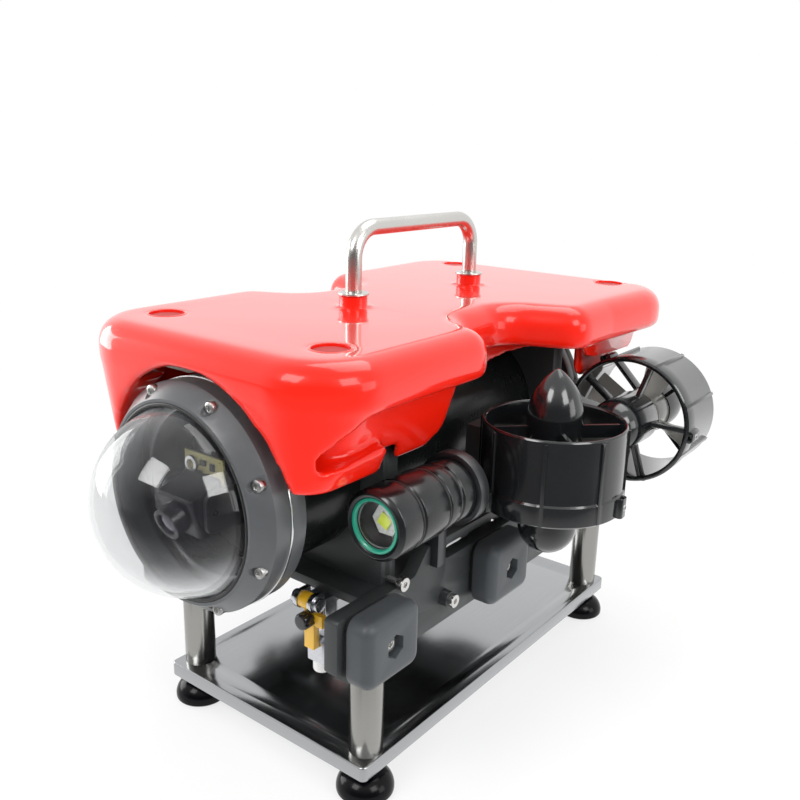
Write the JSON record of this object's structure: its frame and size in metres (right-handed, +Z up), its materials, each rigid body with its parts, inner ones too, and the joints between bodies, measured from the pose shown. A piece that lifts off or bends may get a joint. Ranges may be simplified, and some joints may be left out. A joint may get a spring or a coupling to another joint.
{
  "type": "underwater inspection rov",
  "caption": "Small underwater inspection vehicle: clear dome, hull tube, red moulded cover with carry handle, ducted thrusters and lamps, parked on a footed steel stand.",
  "frame": {"origin": "centre of the overall box's base, on the floor under the levelling feet", "axes": "+Z up, +Y towards the tail, so the dome looks along -Y, +X to the vehicle's port side"},
  "size_m": [0.3606, 0.4612, 0.3519],
  "materials": {
    "stand_steel": "brushed stainless sheet and tube",
    "foot_black": "moulded black plastic",
    "screw_steel": "plain stainless",
    "frame_black": "machined black polyethylene",
    "bar_black": "black anodised",
    "pad_rubber": "moulded black rubber",
    "hull_black": "hard black anodised",
    "seal_rubber": "black nitrile",
    "shim_steel": "polished edge",
    "dome_clear": "polished clear acrylic",
    "chassis_alloy": "plain machined",
    "battery_wrap": "shrink wrapped",
    "board_green": "solder mask",
    "camera_black": "moulded black",
    "lens_glass": "coated glass",
    "shell_red": "gloss red gel coat on glass fibre",
    "foam_white": "closed-cell foam",
    "handle_steel": "satin stainless tube",
    "thruster_black": "glass-filled nylon",
    "blade_grey": "pale grey moulded blades",
    "lamp_black": "black anodised",
    "bezel_green": "green anodised ring",
    "lamp_clear": "clear window",
    "led_white": "white star board with yellow chip",
    "clamp_alloy": "polished alloy",
    "jaw_yellow": "yellow anodised",
    "knob_black": "moulded thumb knob",
    "pad_white": "natural nylon"
  },
  "bodies": {
    "stand": {"stand_plate": "stand_steel", "stand_posts": "stand_steel", "foot_studs": "screw_steel"},
    "foot_1": {"levelling_foot_1": "foot_black"},
    "foot_2": {"levelling_foot_2": "foot_black"},
    "foot_3": {"levelling_foot_3": "foot_black"},
    "foot_4": {"levelling_foot_4": "foot_black"},
    "vehicle": {"battery_pack": "battery_wrap", "bumper_pads": "pad_rubber", "buoyancy_foam": "foam_white", "cable_penetrators": "hull_black", "camera_bracket": "chassis_alloy", "clamp_body": "clamp_alloy", "clamp_nylon_pad": "pad_white", "clamp_pin": "screw_steel", "control_board": "board_green", "cross_bars": "bar_black", "dome_ring": "hull_black", "dome_window": "dome_clear", "electronics_tray": "chassis_alloy", "handle": "handle_steel", "handle_hardware": "handle_steel", "hull_bulkheads": "frame_black", "hull_flanges": "hull_black", "hull_seals": "seal_rubber", "hull_tube": "hull_black", "lamp_bezels": "bezel_green", "lamp_bodies": "lamp_black", "lamp_clamps": "bar_black", "lamp_leds": "led_white", "lamp_lenses": "lamp_clear", "large_screws": "screw_steel", "motor_pods": "thruster_black", "nozzle_rear_port": "thruster_black", "nozzle_rear_starboard": "thruster_black", "nozzle_vertical_port": "thruster_black", "nozzle_vertical_starboard": "thruster_black", "pad_gaskets": "pad_rubber", "rear_cap": "hull_black", "sensor_board": "board_green", "shell_rails": "frame_black", "shim_ring": "shim_steel", "side_plate_port": "frame_black", "side_plate_starboard": "frame_black", "small_screws": "screw_steel", "tether_gland": "hull_black", "thruster_arms": "frame_black", "tilt_servo": "camera_black", "tray_plates": "frame_black", "upper_shell": "shell_red", "vent_plug": "screw_steel"},
    "camera": {"camera_module": "camera_black", "camera_lens": "lens_glass"},
    "jaw": {"clamp_jaw": "jaw_yellow"},
    "knob": {"clamp_knob": "knob_black"},
    "vertical_port_rotor": {"propeller_vertical_port": "blade_grey"},
    "vertical_starboard_rotor": {"propeller_vertical_starboard": "blade_grey"},
    "rear_port_rotor": {"propeller_rear_port": "blade_grey"},
    "rear_starboard_rotor": {"propeller_rear_starboard": "blade_grey"}
  },
  "joints": [
    {"name": "foot_1_height", "type": "slide", "parent": "stand", "child": "foot_1", "axis": [0, 0, -1], "range_m": [0, 0.008]},
    {"name": "foot_2_height", "type": "slide", "parent": "stand", "child": "foot_2", "axis": [0, 0, -1], "range_m": [0, 0.008]},
    {"name": "foot_3_height", "type": "slide", "parent": "stand", "child": "foot_3", "axis": [0, 0, -1], "range_m": [0, 0.008]},
    {"name": "foot_4_height", "type": "slide", "parent": "stand", "child": "foot_4", "axis": [0, 0, -1], "range_m": [0, 0.008]},
    {"name": "vehicle_lift", "type": "slide", "parent": "stand", "child": "vehicle", "axis": [0, 0, 1], "range_m": [0, 0.25]},
    {"name": "vertical_port_spin", "type": "hinge", "parent": "vehicle", "child": "vertical_port_rotor", "pos_m": [0.128, 0.0236, 0.2013], "axis": [0, 0, 1], "continuous": true},
    {"name": "vertical_starboard_spin", "type": "hinge", "parent": "vehicle", "child": "vertical_starboard_rotor", "pos_m": [-0.128, 0.0236, 0.2013], "axis": [0, 0, 1], "continuous": true},
    {"name": "rear_port_spin", "type": "hinge", "parent": "vehicle", "child": "rear_port_rotor", "pos_m": [0.128, 0.1681, 0.2018], "axis": [0, 1, 0], "continuous": true},
    {"name": "rear_starboard_spin", "type": "hinge", "parent": "vehicle", "child": "rear_starboard_rotor", "pos_m": [-0.128, 0.1681, 0.2018], "axis": [0, 1, 0], "continuous": true},
    {"name": "camera_tilt", "type": "hinge", "parent": "vehicle", "child": "camera", "pos_m": [0, -0.1724, 0.1963], "axis": [1, 0, 0], "range_deg": [-48, 27]},
    {"name": "jaw_swing", "type": "hinge", "parent": "vehicle", "child": "jaw", "pos_m": [0.044, -0.1224, 0.1283], "axis": [-1, 0, 0], "range_deg": [0, 75]},
    {"name": "knob_turn", "type": "hinge", "parent": "jaw", "child": "knob", "pos_m": [0.044, -0.1164, 0.1158], "axis": [0, 1, 0], "continuous": true}
  ]
}
